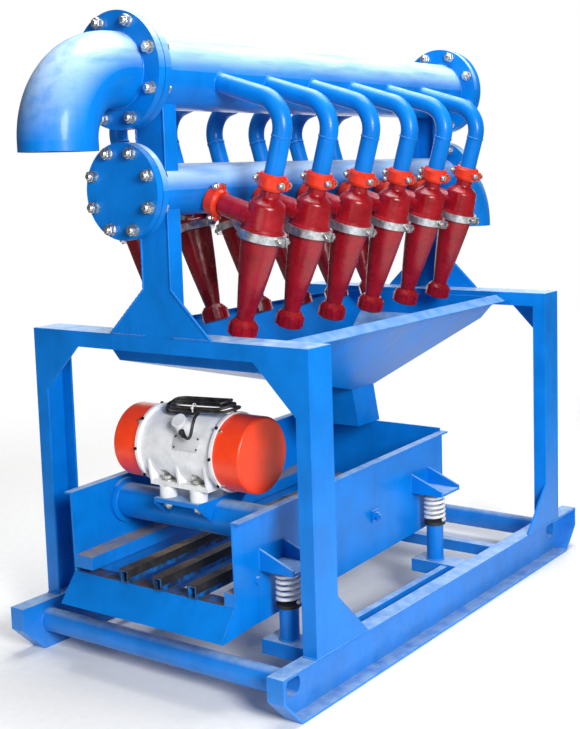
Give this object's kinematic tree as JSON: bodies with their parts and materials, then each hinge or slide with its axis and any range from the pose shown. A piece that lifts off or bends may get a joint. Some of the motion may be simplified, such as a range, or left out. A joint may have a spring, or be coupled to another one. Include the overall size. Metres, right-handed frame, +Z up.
{
  "type": "hydrocyclone desilter",
  "caption": "Skid-mounted hydrocyclone desilter: two rows of cones between a feed and an overflow header, with a hopper over a sprung vibrating deck.",
  "frame": {"origin": "middle of the overall box, on the floor under the skid runners", "axes": "+Z up, +Y along the skid from the overflow elbow and discharge lip to the feed elbow, +X across the skid to the right of someone who faces +Y"},
  "size_m": [1.124, 2.532, 2.027],
  "materials": {
    "blue_paint": "semi-gloss enamel",
    "red_polyurethane": "satin moulded polyurethane",
    "silver_clamp": "satin",
    "orange_coupling": "gloss paint",
    "white_spring": "powder coat",
    "black_rubber": "matt",
    "zinc_steel": "zinc plated",
    "white_casting": "painted off-white",
    "orange_cap": "powder coat",
    "black_cable": "matt",
    "white_plastic": "plain"
  },
  "bodies": {
    "frame": {"body_clamps_left": "silver_clamp", "body_clamps_right": "silver_clamp", "cyclone_left_1": "red_polyurethane", "cyclone_left_2": "red_polyurethane", "cyclone_left_3": "red_polyurethane", "cyclone_left_4": "red_polyurethane", "cyclone_left_5": "red_polyurethane", "cyclone_left_6": "red_polyurethane", "cyclone_right_1": "red_polyurethane", "cyclone_right_2": "red_polyurethane", "cyclone_right_3": "red_polyurethane", "cyclone_right_4": "red_polyurethane", "cyclone_right_5": "red_polyurethane", "cyclone_right_6": "red_polyurethane", "feed_blind_flange": "blue_paint", "feed_elbow": "blue_paint", "feed_header": "blue_paint", "feed_stubs": "blue_paint", "flange_bolts": "zinc_steel", "flange_gaskets": "black_rubber", "front_header_column": "blue_paint", "front_portal": "blue_paint", "front_springs": "white_spring", "hopper": "blue_paint", "hopper_chute": "blue_paint", "lower_spring_seats": "black_rubber", "overflow_blind_flange": "blue_paint", "overflow_elbow": "blue_paint", "overflow_header": "blue_paint", "overflow_pipes_left": "blue_paint", "overflow_pipes_right": "blue_paint", "pipe_couplings_left": "orange_coupling", "pipe_couplings_right": "orange_coupling", "rear_cross_channel": "blue_paint", "rear_header_column": "blue_paint", "rear_portal": "blue_paint", "rear_springs": "white_spring", "skid_cross_pipes": "blue_paint", "skid_runner_left": "blue_paint", "skid_runner_right": "blue_paint", "spring_carrier_left": "blue_paint", "spring_carrier_right": "blue_paint"},
    "deck": {"bar_rubber_caps": "black_rubber", "cable": "black_cable", "cable_gland": "white_casting", "cable_hank": "black_cable", "cable_tie": "white_plastic", "deck_rear_wall": "blue_paint", "deck_side_plate_left": "blue_paint", "deck_side_plate_right": "blue_paint", "deck_side_rails": "blue_paint", "discharge_lip": "blue_paint", "motor_base": "blue_paint", "motor_body": "white_casting", "motor_bolts": "zinc_steel", "motor_end_caps": "orange_cap", "motor_tube": "blue_paint", "screen_support_bars": "blue_paint", "upper_spring_seats": "black_rubber"},
    "rotor": {"rotor": "zinc_steel"}
  },
  "joints": [
    {"name": "deck_bounce", "type": "slide", "parent": "frame", "child": "deck", "axis": [0, 0, 1], "range_m": [-0.008, 0.008], "stiffness_N_per_m": 240000, "springref_m": 0.0104, "deforming": ["front_springs", "rear_springs"]},
    {"name": "rotor_spin", "type": "hinge", "parent": "deck", "child": "rotor", "pos_m": [0.006, -0.6415, 0.695], "axis": [1, 0, 0], "continuous": true}
  ]
}
